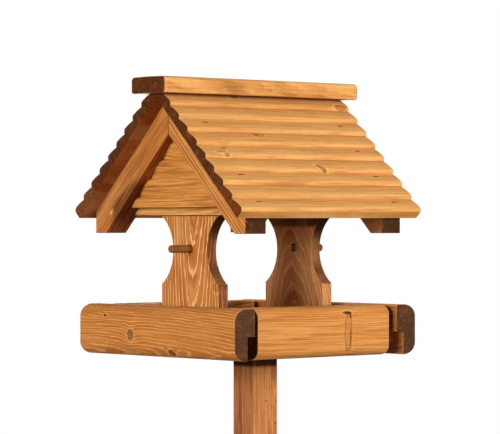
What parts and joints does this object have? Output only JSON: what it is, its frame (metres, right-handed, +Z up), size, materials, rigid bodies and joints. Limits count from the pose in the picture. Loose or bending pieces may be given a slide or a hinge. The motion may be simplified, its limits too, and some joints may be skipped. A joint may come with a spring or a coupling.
{
  "type": "bird table",
  "caption": "Free-standing timber bird table: gabled roof of ridged boards on scalloped pillars with perches, over a railed tray on a post with crossed, braced feet.",
  "frame": {"origin": "on the ground under the middle of the post, which is the middle of the crossed feet", "axes": "+Z up, +X along the ridge to the back gable, +Y to the left as seen from the front gable"},
  "size_m": [0.6, 0.6, 1.4498],
  "materials": {
    "roof_timber": "golden stained softwood, matte",
    "frame_timber": "golden stained softwood, matte",
    "tray_timber": "golden stained softwood, matte",
    "stand_timber": "orange stained softwood, matte",
    "dowel_timber": "brown stained dowel, matte",
    "zinc_steel": "zinc plated"
  },
  "bodies": {
    "root": {"brace_back": "stand_timber", "brace_front": "stand_timber", "brace_left": "stand_timber", "brace_right": "stand_timber", "floor_batten_back": "tray_timber", "floor_batten_front": "tray_timber", "floor_board_1": "tray_timber", "floor_board_2": "tray_timber", "floor_board_3": "tray_timber", "floor_board_4": "tray_timber", "floor_board_5": "tray_timber", "foot_cross": "stand_timber", "foot_long": "stand_timber", "gable_board_back_1": "roof_timber", "gable_board_back_2": "roof_timber", "gable_board_back_3": "roof_timber", "gable_board_front_1": "roof_timber", "gable_board_front_2": "roof_timber", "gable_board_front_3": "roof_timber", "perch_back": "dowel_timber", "perch_front": "dowel_timber", "pillar_back": "frame_timber", "pillar_front": "frame_timber", "pillar_screw_back_1": "zinc_steel", "pillar_screw_back_2": "zinc_steel", "pillar_screw_front_1": "zinc_steel", "pillar_screw_front_2": "zinc_steel", "post": "stand_timber", "post_bearer_left": "tray_timber", "post_bearer_right": "tray_timber", "post_bolt_1": "zinc_steel", "post_bolt_2": "zinc_steel", "post_nut_1": "zinc_steel", "post_nut_2": "zinc_steel", "rafter_back_left": "frame_timber", "rafter_back_right": "frame_timber", "rafter_front_left": "frame_timber", "rafter_front_right": "frame_timber", "ridge_cap": "roof_timber", "roof_board_left_1": "roof_timber", "roof_board_left_2": "roof_timber", "roof_board_left_3": "roof_timber", "roof_board_left_4": "roof_timber", "roof_board_left_5": "roof_timber", "roof_board_right_1": "roof_timber", "roof_board_right_2": "roof_timber", "roof_board_right_3": "roof_timber", "roof_board_right_4": "roof_timber", "roof_board_right_5": "roof_timber", "tie_back": "frame_timber", "tie_front": "frame_timber", "tie_screw_back_1": "zinc_steel", "tie_screw_back_2": "zinc_steel", "tie_screw_front_1": "zinc_steel", "tie_screw_front_2": "zinc_steel", "tray_rail_back": "tray_timber", "tray_rail_front": "tray_timber", "tray_rail_left": "tray_timber", "tray_rail_right": "tray_timber"}
  },
  "joints": []
}
